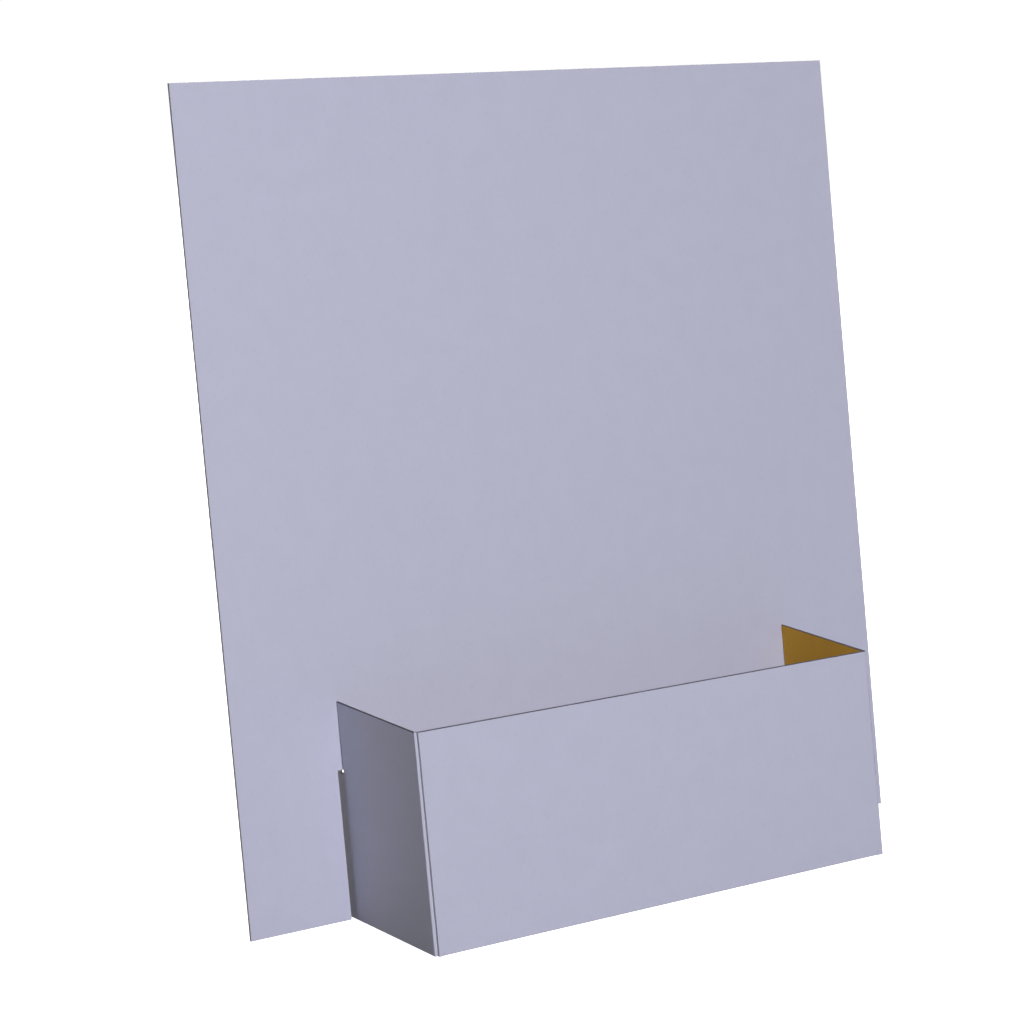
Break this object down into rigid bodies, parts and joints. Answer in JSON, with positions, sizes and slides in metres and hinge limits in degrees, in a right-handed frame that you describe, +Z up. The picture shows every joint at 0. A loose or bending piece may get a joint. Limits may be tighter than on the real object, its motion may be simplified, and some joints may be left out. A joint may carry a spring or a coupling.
{
  "type": "cardboard display stand",
  "caption": "Free-standing counter display of folded board: a leaning header card slotted into a low folded base with an open leaflet pocket in front.",
  "frame": {"origin": "under the middle of the whole stand, on the surface that it stands on", "axes": "+X along the front to the viewer's right, +Y to the rear, +Z up; the pocket faces -Y"},
  "size_m": [0.305, 0.1096, 0.2885],
  "materials": {
    "header_board": "matt lilac-grey coated face",
    "base_board": "matt lilac-grey coated face, plain kraft inside"
  },
  "bodies": {
    "root": {"header_card": "header_board", "folded_base": "base_board"}
  },
  "joints": []
}
